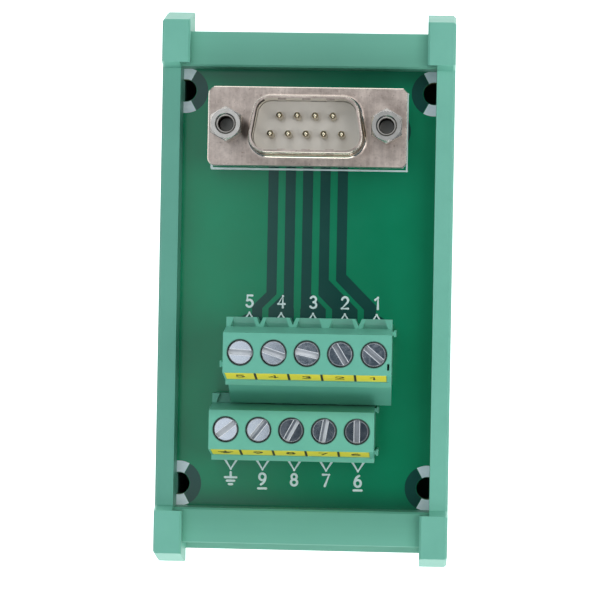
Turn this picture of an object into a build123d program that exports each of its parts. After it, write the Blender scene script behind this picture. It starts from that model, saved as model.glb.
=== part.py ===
from build123d import *
import math
import os

# Rail-mounted interface module: a board with a nine-way male D-sub and two screw terminal blocks,
# held in an extruded tray with two moulded end plates that carry the rail feet.
# X runs along the rail, Y across it, and Z points away from it. The feet stand on Z = 0.

# General fits
slip = 0.05          # between pieces that are pushed together by hand
turn_fit = 0.09      # radial, round a screw head
thread_fit = 0.03    # radial, between mating threads drawn as plain cylinders
slide_fit = 0.10     # each side of a piece that slides

# Standard rail
rail_width = 35.0
rail_lip = 1.0

# Board
board_x = 44.0
board_y = 72.0
board_thick = 1.6
board_r = 0.5
fixing_inset_x = 2.15    # four corner holes, from the board's edges
fixing_inset_y = 4.6
fixing_hole_r = 1.75

# Heights above the underside of the feet
rail_seat = 6.5
foot_body = 7.5
floor_thick = 1.8
tray_depth = 14.6
tray_under = rail_seat + foot_body
floor_top = tray_under + floor_thick
board_under = floor_top + tray_depth
board_top = board_under + board_thick

# Tray profile, half of its section in Y
bar_rise = 4.4           # bar above the board's face
bar_cover = 1.1          # bar over the board's edge
bar_wide = 5.5
bar_inner = board_y / 2 - bar_cover
bar_outer = bar_inner + bar_wide
bar_edge = 0.3
bar_lean = 0.5
step_drop = 2.6          # outer step below the board's face
step_out = 1.1
step_rise = 0.6
side_out = bar_outer + bar_lean + step_out
side_wall = 1.4
tray_room = 1.4          # beside the board's edge
inner_wall = board_y / 2 + tray_room
lip_drop = 2.0
lip_slope = 1.0
bevel = 3.0
upper_sink = 0.35        # upper channel's floor below the step's root
slim_room = 1.3          # lower channel on the side without a step
slim_high = 7.0
tee_y = 11.0
tee_stem = 1.6
tee_head = 4.0
tee_thick = 1.2

# End plates
board_bite = 1.8         # board's end in the plate's groove
plate_thick = 2.9
plate_in = board_x / 2 - board_bite
plate_out = plate_in + plate_thick
plate_edge = 0.35
cap_reach = 1.5          # how far the corner caps pass over the profile
cap_rise = bar_rise + 2.3
strip_rise = bar_rise + 0.8
cap_inner = bar_inner + 0.4
cap_ramp = 0.8           # slope from a cap down to the strip between the caps
cap_outer = bar_outer + 1.6
cap_edge = 0.3
plate_outer = side_out + 1.9
skirt_under = floor_top + 2.7
apron_drop = 1.6
apron_in = 3.1
panel_deep = 0.5         # shallow panel in the plate's outer face
panel_rim = 3.0
panel_r = 2.0
peg_reach = 6.0
peg_taper = 2.0
peg_slim = 0.3
foot_width = 10.0
foot_in = plate_out - foot_width
hook_bite = 1.3
hook_thick = 1.8
hook_end = rail_width / 2 + 6.5
hook_gap = 0.3           # between the rail's lip and a hook
hook_toe = 1.1
hook_spread = 2.0
hook_flank = 3.0
foot_spread = 0.8
rail_gap = 0.2
foot_end = plate_outer - 6.1
core_near = 2.0          # hollows in the underside of the foot
core_far = 15.4
core_deep = 3.6
core_wall = 1.5

# Rail latch
latch_width = 6.0
guide_floor = 2.2
latch_low = guide_floor + slide_fit
latch_high = 6.1
latch_tail = plate_outer - 0.5
latch_centre = foot_in + foot_width / 2
spring_slot_width = 2.9
spring_slot_floor = 3.3
spring_slot_near = rail_width / 2 + 4.5
spring_length = 9.2
spring_stop = 1.2
spring_folds = 8
spring_strip = 0.28
latch_bevel = 0.8
nose_back = 0.4
nose_tip = 1.2
nose_edge = 0.8
nose_root = 0.9
tail_slot_in = 2.4       # slot for a screwdriver in the latch's tail
tail_slot_long = 3.4
tail_slot_wide = 1.5

# D-sub connector
dsub_y = 25.37
dsub_rise = 6.3
flange_screws = 24.99
flange_ear = 3.155       # flange past a screw's axis
flange_rim = 1.8         # flange past the shroud's long sides
flange_r = 1.2
flange_snip = 1.25       # snipped corners at the right
flange_thick = 0.8
flange_edge = 0.12
flange_hole_r = 1.55
shroud_gap = 3.105       # between a screw's axis and the shroud
shroud_tall = 5.9
shroud_y = 8.9
shroud_half = flange_screws / 2 - shroud_gap
flange_x = flange_screws + 2 * flange_ear
flange_y = shroud_y + 2 * flange_rim
shroud_r = 2.7
shroud_wall = 0.45
shroud_flare = 0.7
shroud_lean = math.radians(10)
shroud_rim_r = 0.2
dimple_x = 1.3           # pressed dimples in the shroud's long sides
dimple_z = 2.4
dimple_deep = 0.11
dimple_raise = 0.19
dimple_pitch = 3.75
dimple_down = 2.0
rear_plate = 0.8
rear_skirt = 2.5
rear_wall = 0.45
body_rim = 0.7           # body past the shroud's long sides
body_y = shroud_y + 2 * body_rim
body_r = 1.8
body_gap = 0.5
face_rise = 0.6
stand_in = 1.2           # the insulator's two feet on the board
stand_r = 0.9
pin_r = 0.5
pin_pitch = 2.77
pin_rows = 2.84
pin_short = 0.4          # pin tips below the shroud's rim
pin_below = 1.5
pin_foot_r = 0.3
pin_lead = 0.4
funnel_r = 0.85          # countersink round each pin
funnel_deep = 0.25
jack_flats = 4.75
jack_tall = 5.0
jack_bore_r = 1.25
jack_bore_deep = 4.2
jack_stud_r = 1.4
jack_stud = 4.0
jack_bevel = 0.45
jack_crown = 0.1
jack_lead = 0.4
stud_spare = 0.4
lock_r = 2.4
lock_gap = 0.595         # between a board lock and the connector's body
body_x = flange_screws - 2 * (lock_r + lock_gap)
lock_leg_r = 1.5
lock_hole_r = 1.6
lock_barb_r = 1.75
lock_below = 1.3
lock_lead = 0.3
lock_split = 0.8
lock_stop = 0.2

# Terminal blocks. Depths are measured down from a block's top, offsets in Y from its screw row.
poles = 5
pitch = 5.08
block_spare = 0.2
block_x = poles * pitch + block_spare
high_tall = 19.0
low_tall = 12.0
high_x = 1.15
high_y = -9.97
row_gap = 12.07
low_y = high_y - row_gap
low_x = high_x - pitch / 2
top_front = -3.1
top_rear = 3.0
label_drop = 6.1
label_foot = -4.4
ledge_front = -5.15
ledge_thick = 0.5
ledge_lip = 0.2
front_inset = 0.15       # front face behind the ledge's edge
hood_drop = 6.0
hood_root = 3.9
hood_out = 5.35
hood_foot = 10.8
hood_back = 0.8
hood_least = 1.2
hollow_root = 2.0        # half widths of the hollow in each hood
hollow_edge = 1.45
hollow_deep = 1.0
notch_half = 0.5         # notches between the hoods
notch_deep = 1.1
notch_left_out = 3
skirt_front = -8.1
skirt_base = 6.5
skirt_edge = 0.6
skirt_inset = 0.45
stand_off = 0.4
stand_wide = 1.6
lug_neck = 0.3           # half widths of the lugs that lock one block to the next
lug_head = 0.5
lug_step = 0.3
lug_low = 0.4
lug_down = 2.0
lug_rear = hood_root - 0.7
lug_front = label_foot + 0.9
lug_middle = -1.85
lug_room_in = 0.25
label_sunk = 0.35
label_near = 0.3
label_far = 5.6
strip_left = 0.3
strip_right = 0.7
strip_below = 0.04
recess_open = 0.4

# Clamp mechanism
head_r = 1.86
head_deep = 0.2
head_tall = 1.5
head_bevel = 0.15
slot_wide = 0.75
slot_deep = 0.8
shank_r = 1.25
shank_lead = 0.3
shoulder = 0.6
cage_x = 3.85
cage_y = 4.3
cage_tall = 5.8
cage_top = 1.3
cage_bar = 0.9
cage_window = 2.5
cage_corner = 0.5
cage_side = 0.08         # beside the cage in its chamber
ridge_pitch = 1.2
ridge_half = 0.25
ridge_tall = 0.14
lift = 2.6
tongue_thick = 0.7
tongue_wide = 2.2
tongue_reach = 1.9
leg_near = 2.4
leg_thick = 0.8
leg_wide = 1.0
leg_below = 1.9
entry_wide = 3.4
entry_over = 0.1
entry_lap = 0.1
mouth_deep = 0.9
mouth_spread = (0.5, 0.4)
leg_hole_r = 0.75
slot_turns_high = [-3, -18, -12, -58, -40]
slot_turns_low = [38, 52, 62, 80, 90]


def along_x(points, x_from, x_to):
    # A closed outline given in Y and Z, carried along X
    outline = make_face(Polyline(*points, close=True))
    return extrude(Plane.YZ.offset(x_from) * outline, amount=x_to - x_from, dir=(1, 0, 0))


def upright(sketch, z_from, z_to):
    # A sketch in X and Y, carried along Z
    return extrude(Pos(0, 0, z_from) * sketch, amount=z_to - z_from, dir=(0, 0, 1))


def room(x, y, z):
    # A plain space between two limits on each axis
    size = [limits[1] - limits[0] for limits in (x, y, z)]
    middle = [(limits[1] + limits[0]) / 2 for limits in (x, y, z)]
    return Pos(*middle) * Box(*size)


def rod(radius, x, y, z_from, z_to):
    return Pos(x, y, (z_from + z_to) / 2) * Cylinder(radius, z_to - z_from)


def turned_to(side, points):
    # An outline given for +Y, or mirrored to -Y
    return [(side * y, z) for y, z in points]


# Carrier profile
bar_top = board_top + bar_rise
step_top = board_top - step_drop
step_root = step_top + step_rise
cap_top = board_top + cap_rise
cap_low = step_root + slip
strip_top = board_top + strip_rise
groove_low = board_under - slip
groove_high = board_top + slip
groove_deep = board_y / 2 + slide_fit


def profile_outline(side):
    # The outer face of one side, from the bar down to the bevel under the floor. Only -Y has the step.
    points = [(bar_outer, bar_top), (bar_outer + bar_lean, step_root)]
    if side < 0:
        points.append((side_out, step_top))
    points.append((side_out, tray_under + bevel))
    points.append((side_out - bevel, tray_under))
    return points


def lower_chamber(side, clear=0.0):
    # The closed channel beside the tray, which takes the end plates' pegs
    near = inner_wall + side_wall
    low = floor_top + side_wall
    far = side_out - side_wall if side < 0 else near + slim_room
    high = step_top - side_wall if side < 0 else low + slim_high
    points = [
        (near + clear, low + clear),
        (far - clear, low + clear),
        (far - clear, high - clear),
        (near + clear, high - clear),
    ]
    return turned_to(side, points)


def make_carrier_profile():
    inside = [
        (bar_inner + bar_edge, bar_top),
        (bar_inner, bar_top - bar_edge),
        (bar_inner, groove_high),
        (groove_deep, groove_high),
        (groove_deep, groove_low),
        (bar_inner, groove_low),
        (bar_inner, board_under - lip_drop),
        (inner_wall, board_under - lip_drop - lip_slope),
        (inner_wall, floor_top + side_wall),
        (inner_wall - side_wall, floor_top),
    ]
    outline = list(reversed(profile_outline(1))) + inside
    outline += turned_to(-1, list(reversed(inside)) + profile_outline(-1))
    tray = along_x(outline, -plate_in, plate_in)
    chamber_low = step_root - upper_sink
    upper = [
        (groove_deep + side_wall, chamber_low),
        (bar_outer - side_wall + bar_lean / 2, chamber_low),
        (bar_outer - side_wall, bar_top - side_wall),
        (groove_deep + side_wall, bar_top - side_wall),
    ]
    for side in (-1, 1):
        tray -= along_x(lower_chamber(side), -plate_in, plate_in)
        tray -= along_x(turned_to(side, upper), -plate_in, plate_in)
        tray += tee_rail(side * tee_y, 0.0, -plate_in, plate_in)
    return tray


def tee_rail(y, clear, x_from, x_to):
    # The T-shaped rail under the floor, or with clearance the slot for it
    stem = tee_stem / 2 + clear
    head = tee_head / 2 + clear
    neck = tray_under - tee_thick + clear
    tip = tray_under - 2 * tee_thick - clear
    points = [
        (y - stem, tray_under),
        (y - stem, neck),
        (y - head, neck),
        (y - head, tip),
        (y + head, tip),
        (y + head, neck),
        (y + stem, neck),
        (y + stem, tray_under),
    ]
    return along_x(points, x_from, x_to)


# End plate for the +X end
def foot_outline(top_near, top_far):
    # Fixed hook on the +Y side and latch guide on the -Y side
    rail_half = rail_width / 2
    hook_top = rail_seat - rail_lip - hook_gap
    return [
        top_near,
        (hook_end + hook_spread, rail_seat + hook_flank),
        (hook_end, 0.0),
        (rail_half + hook_toe, 0.0),
        (rail_half - hook_bite, hook_top - hook_thick),
        (rail_half - hook_bite, hook_top),
        (rail_half + rail_gap, hook_top),
        (rail_half + rail_gap, rail_seat),
        (-rail_half - hook_gap, rail_seat),
        (-rail_half - hook_gap, 0.0),
        (-foot_end, 0.0),
        top_far,
    ]


def make_end_plate():
    under = tray_under - apron_drop
    half = [
        (cap_inner - cap_ramp, strip_top),
        (cap_inner, cap_top),
        (cap_outer, cap_top),
        (plate_outer, board_top),
        (plate_outer, skirt_under),
    ]
    upper = turned_to(-1, reversed(half)) + half
    lower = foot_outline((plate_outer - apron_in, under), (-foot_end, under))
    plate = along_x(upper + lower + [(-plate_outer + apron_in, under)], plate_in, plate_out)
    rim = plate.faces().sort_by(Axis.X)[-1].outer_wire().edges()
    plate = chamfer(rim, plate_edge)
    panel_x = plate_out - panel_deep
    panel_low = tray_under + panel_rim
    panel_high = board_top - panel_rim
    panel = Rectangle(2 * (plate_outer - 2 * panel_rim), panel_high - panel_low)
    panel = Plane.YZ.offset(panel_x) * Pos(0, (panel_high + panel_low) / 2) * fillet(panel.vertices(), panel_r)
    plate -= extrude(panel, amount=panel_deep, dir=(1, 0, 0))

    # Corner caps over the ends of the profile
    cap = [(plate_outer, cap_low), (plate_outer, board_top), (cap_outer, cap_top), (cap_inner, cap_top)]
    cap += [(cap_inner, bar_top + slip), (bar_outer + slip, bar_top + slip)]
    cap += [(bar_outer + bar_lean + slip, cap_low)]
    side_cap = along_x(cap, plate_in - cap_reach, plate_in)
    cap_rim = [e for e in side_cap.edges() if e.center().Z > cap_top - slip]
    cap_rim = [e for e in cap_rim if abs(e.center().X - plate_in + cap_reach) < slip]
    side_cap = chamfer(cap_rim, cap_edge)
    plate += side_cap
    plate += mirror(side_cap, about=Plane.XZ)

    # Pegs for the profile's side channels
    for side in (-1, 1):
        peg_face = make_face(Polyline(*lower_chamber(side, slip), close=True))
        tip_face = make_face(Polyline(*lower_chamber(side, slip + peg_slim), close=True))
        plate += extrude(Plane.YZ.offset(plate_in) * peg_face, amount=peg_reach - peg_taper, dir=(-1, 0, 0))
        root = Plane.YZ.offset(plate_in - peg_reach + peg_taper) * peg_face
        plate += loft([root, Plane.YZ.offset(plate_in - peg_reach) * tip_face])

    # Foot under the floor, with slots for the T rails
    foot_top = tray_under
    foot = along_x(foot_outline((hook_end + foot_spread, foot_top), (-foot_end, foot_top)), foot_in, plate_in)
    for side in (-1, 1):
        foot -= tee_rail(side * tee_y, slip, foot_in, plate_in)
        core_y = sorted((side * core_near, side * core_far))
        foot -= room((foot_in + core_wall, plate_in - core_wall), core_y, (rail_seat, rail_seat + core_deep))
    plate += foot

    # Groove for the board's end
    half = board_y / 2 + slip
    plate -= room((plate_in, board_x / 2 + slip), (-half, half), (groove_low, groove_high))

    # Guide for the latch, with the stop that its spring pushes against
    wide = latch_width / 2 + slide_fit
    tunnel = (latch_low - slide_fit, latch_high + slide_fit)
    run = (-foot_end, -rail_width / 2 - hook_gap)
    plate -= room((latch_centre - wide, latch_centre + wide), run, tunnel)
    stop_near = spring_slot_near + spring_length + 2 * slip
    stop_half = spring_slot_width / 2 - slide_fit
    stop_z = (spring_slot_floor + slide_fit * 2, tunnel[1])
    stop_y = (-stop_near - spring_stop, -stop_near)
    plate += room((latch_centre - stop_half, latch_centre + stop_half), stop_y, stop_z)
    return plate


def make_rail_latch():
    rail_half = rail_width / 2
    nose = rail_seat - rail_lip - hook_gap
    points = [
        (-latch_tail, latch_low + latch_bevel),
        (-latch_tail, latch_high - latch_bevel),
        (-latch_tail + latch_bevel, latch_high),
        (-rail_half - nose_back, latch_high),
        (-rail_half - nose_back, nose),
        (-rail_half + nose_tip, nose),
        (-rail_half + nose_tip, nose - nose_edge),
        (-rail_half - nose_root, latch_low),
        (-latch_tail + latch_bevel, latch_low),
    ]
    half = latch_width / 2
    latch = along_x(points, latch_centre - half, latch_centre + half)
    slot_end = -spring_slot_near - spring_length - 2 * slip - spring_stop - slip
    slot_half = spring_slot_width / 2
    slot_x = (latch_centre - slot_half, latch_centre + slot_half)
    latch -= room(slot_x, (slot_end, -spring_slot_near), (spring_slot_floor, latch_high))
    tail_slot = Pos(latch_centre, -latch_tail + tail_slot_in) * SlotOverall(tail_slot_long, tail_slot_wide)
    latch -= upright(tail_slot, latch_low, latch_high)
    return latch


def make_latch_spring():
    # Strip folded from side to side, from the latch's wall to the stop
    near = spring_slot_near + slip
    step = spring_length / spring_folds
    spread = spring_strip / 2 * math.hypot(spring_slot_width, step) / step
    swing = spring_slot_width / 2 - slide_fit - spread
    folds = []
    for i in range(spring_folds + 1):
        side = 1 if i % 2 else -1
        folds.append((latch_centre + side * swing, -near - i * step))
    one_edge = [(x + spread, y) for x, y in folds]
    other_edge = [(x - spread, y) for x, y in reversed(folds)]
    ribbon = make_face(Polyline(*(one_edge + other_edge), close=True))
    return upright(ribbon, spring_slot_floor + slip, latch_high - slide_fit)


# Circuit board
def dsub_pins():
    # Five pins in the row towards the terminals and four in the other, as seen from above
    places = []
    for i in range(5):
        places.append(((i - 2) * pin_pitch, dsub_y - pin_rows / 2))
    for i in range(4):
        places.append(((i - 1.5) * pin_pitch, dsub_y + pin_rows / 2))
    return places


def pole_x(block_centre):
    return [block_centre + (i - (poles - 1) / 2) * pitch for i in range(poles)]


high_leg_y = high_y - leg_near - leg_thick / 2
low_leg_y = low_y + leg_near + leg_thick / 2


def make_circuit_board():
    outline = fillet(Rectangle(board_x, board_y).vertices(), board_r)
    hole_x = board_x / 2 - fixing_inset_x
    hole_y = board_y / 2 - fixing_inset_y
    for x in (-hole_x, hole_x):
        for y in (-hole_y, hole_y):
            outline -= Pos(x, y) * Circle(fixing_hole_r)
    for x, y in dsub_pins():
        outline -= Pos(x, y) * Circle(pin_r + slip)
    for x in (-flange_screws / 2, flange_screws / 2):
        outline -= Pos(x, dsub_y) * Circle(lock_hole_r)
    for x in pole_x(high_x):
        outline -= Pos(x, high_leg_y) * Circle(leg_hole_r)
    for x in pole_x(low_x):
        outline -= Pos(x, low_leg_y) * Circle(leg_hole_r)
    return upright(outline, board_under, board_top)


# D-sub connector
flange_top = board_top + dsub_rise
flange_under = flange_top - flange_thick


def d_outline(inset):
    # Rounded D with its wide side towards the terminals
    half_y = shroud_y / 2
    narrow = shroud_half - shroud_y * math.tan(shroud_lean)
    points = [(-shroud_half, -half_y), (shroud_half, -half_y), (narrow, half_y), (-narrow, half_y)]
    shape = fillet(make_face(Polyline(*points, close=True)).vertices(), shroud_r)
    if inset:
        shape = offset(shape, amount=-inset)
    return Pos(0, dsub_y) * shape


def flange_sketch():
    shape = Rectangle(flange_x, flange_y)
    corners = shape.vertices().sort_by(Axis.X)
    shape = fillet(corners[:2], flange_r)
    corners = shape.vertices().sort_by(Axis.X)
    shape = chamfer(corners[-2:], flange_snip / 2)
    for x in (-flange_screws / 2, flange_screws / 2):
        shape -= Pos(x, 0) * Circle(flange_hole_r)
    return Pos(0, dsub_y) * shape


def make_front_shell():
    shell = upright(flange_sketch(), flange_under, flange_top)
    shell = chamfer(shell.edges().group_by(Axis.Z)[-1], flange_edge)
    shroud = upright(d_outline(0), flange_top - flange_thick / 2, flange_top + shroud_tall)
    shell += shroud
    root = [
        edge
        for edge in shell.edges()
        if abs(edge.center().Z - flange_top) < slip and abs(edge.center().X) < shroud_half
        and abs(edge.center().Y - dsub_y) < shroud_y / 2 + slip
    ]
    shell = fillet(root, shroud_flare)
    rim = [e for e in shell.edges() if abs(e.center().Z - flange_top - shroud_tall) < slip]
    shell = fillet(rim, shroud_rim_r)
    shell -= upright(d_outline(shroud_wall), flange_under, flange_top + shroud_tall)
    # Pressed dimples: sunk outside and raised inside
    for row in (-1, 1):
        wall_y = dsub_y + row * shroud_y / 2
        for i in (-1, 0, 1):
            dimple = Box(dimple_x, 2 * dimple_deep, dimple_z)
            middle = flange_top + shroud_tall - dimple_down
            raised = wall_y - row * (shroud_wall + dimple_raise - dimple_deep)
            shell -= Pos(i * dimple_pitch, wall_y - row * dimple_deep, middle) * dimple
            shell += Pos(i * dimple_pitch, raised, middle) * dimple
    return shell


def body_sketch(clear):
    shape = fillet(Rectangle(body_x + 2 * clear, body_y + 2 * clear).vertices(), body_r + clear)
    return Pos(0, dsub_y) * shape


def make_rear_shell():
    shell = upright(flange_sketch(), flange_under - rear_plate, flange_under)
    shell += upright(body_sketch(slip + rear_wall), flange_under - rear_plate - rear_skirt, flange_under)
    return shell - upright(body_sketch(slip), flange_under - rear_plate - rear_skirt, flange_under)


def make_insulator():
    body = upright(body_sketch(0), board_top + body_gap, flange_under)
    body += upright(d_outline(shroud_wall + slip), flange_under, flange_top + face_rise)
    for x in (-body_x / 2 + stand_in, body_x / 2 - stand_in):
        body += rod(stand_r, x, dsub_y, board_top, board_top + body_gap)
    for x, y in dsub_pins():
        body -= rod(pin_r + slip / 2, x, y, board_top, flange_top + face_rise)
        body -= rod(funnel_r, x, y, flange_top + face_rise - funnel_deep, flange_top + face_rise)
    return body


def make_pin(x, y):
    tip = flange_top + shroud_tall - pin_short
    foot = board_under - pin_below
    outline = Polyline((0, foot), (pin_foot_r, foot), (pin_r, foot + pin_lead), (pin_r, tip - pin_r))
    outline += RadiusArc((pin_r, tip - pin_r), (0, tip), -pin_r)
    outline += Line((0, tip), (0, foot))
    return Pos(x, y) * revolve(Plane.XZ * make_face(outline), Axis.Z)


def make_jackscrew(x):
    top = flange_top + jack_tall
    hexagon = RegularPolygon(jack_flats / 2, 6, major_radius=False, rotation=30)
    jack = upright(hexagon, flange_top, top)
    corner = jack_flats / 2 / math.cos(math.pi / 6)
    blank = [
        (0, flange_top),
        (corner, flange_top),
        (corner, top - jack_bevel),
        (jack_flats / 2 - jack_crown, top),
        (0, top),
    ]
    jack &= revolve(Plane.XZ * make_face(Polyline(*blank, close=True)), Axis.Z)
    jack -= rod(jack_bore_r, 0, 0, top - jack_bore_deep, top)
    jack -= Pos(0, 0, top - jack_lead / 2) * Cone(jack_bore_r, jack_bore_r + jack_lead, jack_lead)
    jack += rod(jack_stud_r, 0, 0, flange_top - jack_stud, flange_top)
    return Pos(x, dsub_y) * jack


def make_board_lock(x):
    top = flange_under - rear_plate
    outline = [
        (0, board_under - lock_below),
        (lock_leg_r - lock_lead, board_under - lock_below),
        (lock_barb_r, board_under - slip),
        (lock_leg_r, board_under - slip),
        (lock_leg_r, board_top),
        (lock_r, board_top),
        (lock_r, top),
        (0, top),
    ]
    lock = revolve(Plane.XZ * make_face(Polyline(*outline, close=True)), Axis.Z)
    lock -= rod(jack_stud_r + thread_fit, 0, 0, flange_top - jack_stud - stud_spare, top)
    split_z = (board_under - lock_below, board_top - lock_stop)
    lock -= room((-lock_split / 2, lock_split / 2), (-lock_r, lock_r), split_z)
    return Pos(x, dsub_y) * lock


# Terminal blocks
chamber_x = cage_x / 2 + cage_side
chamber_y = cage_y / 2 + slide_fit
ceiling = head_deep + head_tall + slip + shoulder
tongue_drop = ceiling + slip + cage_top + lift + slip


def label_point(tall, down, out):
    # A point on the sloping label face, so far down it and so far out of it
    run = math.hypot(label_foot - top_front, label_drop)
    along = ((label_foot - top_front) / run, -label_drop / run)
    normal = (-label_drop / run, -(label_foot - top_front) / run)
    y = top_front + along[0] * down + normal[0] * out
    z = tall + along[1] * down + normal[1] * out
    return (y, z)


def housing_outline(tall, with_skirt):
    rear_foot = max(tall - hood_foot, hood_least)
    front = ledge_front + front_inset
    points = [
        (ledge_front, tall - label_drop - ledge_thick),
        (ledge_front, tall - label_drop - ledge_lip),
        (label_foot, tall - label_drop),
        (top_front, tall),
        (top_rear, tall),
        (hood_root, tall - hood_drop),
        (hood_out, tall - hood_drop),
        (hood_out, rear_foot),
        (hood_out - hood_back, rear_foot - hood_back),
        (hood_out - hood_back, 0),
        (front, 0),
    ]
    if with_skirt:
        points.append((front, skirt_base))
        points.append((skirt_front, skirt_base))
        points.append((skirt_front, skirt_base + skirt_edge))
    return points


def make_housing(tall, entry, with_skirt, lugs):
    # entry is +1 where the wires go in from +Y, and -1 where they go in from -Y
    half = block_x / 2
    block = along_x(housing_outline(tall, with_skirt), -half, half)
    if with_skirt:
        inset_z = (skirt_base, tall - label_drop - ledge_thick)
        block -= room((-half, -half + skirt_inset), (skirt_front, ledge_front + front_inset), inset_z)
    for side, y in lugs:
        lug_z = (lug_low, tall - label_drop if side > 0 else tall - lug_down)
        stem = side * (half + lug_step)
        block += room(sorted((side * half, stem)), (y - lug_neck, y + lug_neck), lug_z)
        block += room(sorted((stem, stem + side * lug_step)), (y - lug_head, y + lug_head), lug_z)
        if side < 0:
            # Room for such a lug of the next block at the other end
            room_x = (half - lug_room_in - lug_step - slip, half - lug_room_in)
            block -= room(room_x, (y - lug_head, y + lug_head), (tall - lug_down, tall))
    # Recess for the marker strip
    far = label_far + slip
    near = label_near - slip
    recess = [
        label_point(tall, near, -label_sunk),
        label_point(tall, far, -label_sunk),
        label_point(tall, far, recess_open),
        label_point(tall, near, recess_open),
    ]
    block -= along_x(recess, -half + strip_left - slip, half - strip_right + slip)
    # Relief under the base, which leaves a foot at each end
    block -= room((-half + stand_wide, half - stand_wide), (skirt_front, hood_out), (0, stand_off))
    for i in range(poles):
        x = (i - (poles - 1) / 2) * pitch
        block = cut_pole(block, x, tall, entry)
    for i in range(1, poles):
        x = (i - poles / 2) * pitch
        if i != notch_left_out:
            tips = [(x - notch_half, hood_out), (x + notch_half, hood_out), (x, hood_out - notch_deep)]
            notch = make_face(Polyline(*tips, close=True))
            block -= upright(notch, 0, tall - hood_drop)
    return block


def cut_pole(block, x, tall, entry):
    block -= rod(head_r + turn_fit, x, 0, tall - head_deep - head_tall - slip, tall)
    block -= rod(shank_r + slide_fit, x, 0, tall - ceiling, tall - head_tall)
    block -= room((x - chamber_x, x + chamber_x), (-chamber_y, chamber_y), (0, tall - ceiling))
    # Wire entry, wider at its mouth
    high = tall - tongue_drop - tongue_thick + entry_over
    low = tall - ceiling - slip - lift - cage_tall + cage_bar
    face = hood_out if entry > 0 else -ledge_front
    throat_z = (high + low) / 2
    near = Rectangle(entry_wide, high - low)
    mouth = Rectangle(entry_wide + mouth_spread[0], high - low + mouth_spread[1])
    levels = [chamber_y - entry_lap, face - mouth_deep, face]
    planes = [Plane((x, entry * y, throat_z), x_dir=(1, 0, 0), z_dir=(0, 1, 0)) for y in levels]
    block -= loft([planes[0] * near, planes[1] * near])
    block -= loft([planes[1] * near, planes[2] * mouth])
    # Slot for the contact's leg, on the far side from the wire
    leg_y = sorted((-entry * (chamber_y - entry_lap), -entry * (leg_near + leg_thick + slide_fit)))
    leg_x = tongue_wide / 2 + slide_fit
    block -= room((x - leg_x, x + leg_x), leg_y, (0, tall - tongue_drop + slip))
    # Hollow in the hood, narrower towards its edge
    plan = Polyline(
        (x - hollow_root, hood_root),
        (x + hollow_root, hood_root),
        (x + hollow_edge, hood_out),
        (x - hollow_edge, hood_out),
        close=True,
    )
    return block - upright(make_face(plan), tall - hood_drop - hollow_deep, tall - hood_drop)


def make_marker_strip(tall):
    half = block_x / 2
    points = [
        label_point(tall, label_near, -label_sunk),
        label_point(tall, label_far, -label_sunk),
        label_point(tall, label_far, -strip_below),
        label_point(tall, label_near, -strip_below),
    ]
    return along_x(points, -half + strip_left, half - strip_right)


def make_clamp_screw(tall, turn):
    # Slotted head over a plain shank, with the slot left at the angle in which it rests
    top = tall - head_deep
    neck = top - head_tall
    outline = [
        (0, tall - tongue_drop + slip),
        (shank_r - shank_lead, tall - tongue_drop + slip),
        (shank_r, tall - tongue_drop + slip + shank_lead),
        (shank_r, neck),
        (head_r, neck),
        (head_r, top - head_bevel),
        (head_r - head_bevel, top),
        (0, top),
    ]
    screw = revolve(Plane.XZ * make_face(Polyline(*outline, close=True)), Axis.Z)
    slot = room((-2 * head_r, 2 * head_r), (-slot_wide / 2, slot_wide / 2), (top - slot_deep, tall))
    return screw - Rot(0, 0, turn) * slot


def make_clamp_cage(tall):
    top = tall - ceiling - slip - lift
    bottom = top - cage_tall
    plan = fillet(Rectangle(cage_x, cage_y).vertices(), cage_corner)
    cage = upright(plan, bottom, top)
    half = cage_window / 2
    cage -= room((-half, half), (-cage_y, cage_y), (bottom + cage_bar, top - cage_top))
    cage -= rod(shank_r + thread_fit, 0, 0, top - cage_top, top)
    # Ridges that grip the wire
    floor_z = bottom + cage_bar
    for y in (-ridge_pitch, 0, ridge_pitch):
        ridge = [(y - ridge_half, floor_z), (y + ridge_half, floor_z), (y, floor_z + ridge_tall)]
        cage += along_x(ridge, -half, half)
    return cage


def make_contact(tall, entry):
    # Tongue through the cage, and a leg down through the board, on the far side from the wire
    tongue_top = tall - tongue_drop
    tongue_low = tongue_top - tongue_thick
    far = -entry * (leg_near + leg_thick)
    tongue_y = sorted((entry * tongue_reach, far))
    half = tongue_wide / 2
    contact = room((-half, half), tongue_y, (tongue_low, tongue_top))
    leg_y = sorted((-entry * leg_near, far))
    leg = room((-leg_wide / 2, leg_wide / 2), leg_y, (-board_thick - leg_below, tongue_low))
    return contact + leg


def write(name, shape):
    export_step(shape, "parts/" + name + ".step")


def group(solids):
    return Compound(children=list(solids))


os.makedirs("parts", exist_ok=True)

write("carrier_profile", make_carrier_profile())
end_plate = make_end_plate()
rail_latch = make_rail_latch()
latch_spring = make_latch_spring()
for name, shape in (("end_plate", end_plate), ("rail_latch", rail_latch), ("latch_spring", latch_spring)):
    write(name + "_right", shape)
    write(name + "_left", mirror(shape, about=Plane.YZ))
write("circuit_board", make_circuit_board())

write("dsub_front_shell", make_front_shell())
write("dsub_rear_shell", make_rear_shell())
write("dsub_insulator", make_insulator())
write("dsub_pins", group(make_pin(x, y) for x, y in dsub_pins()))
for side, x in (("left", -flange_screws / 2), ("right", flange_screws / 2)):
    write("jackscrew_" + side, make_jackscrew(x))
    write("board_lock_" + side, make_board_lock(x))

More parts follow.
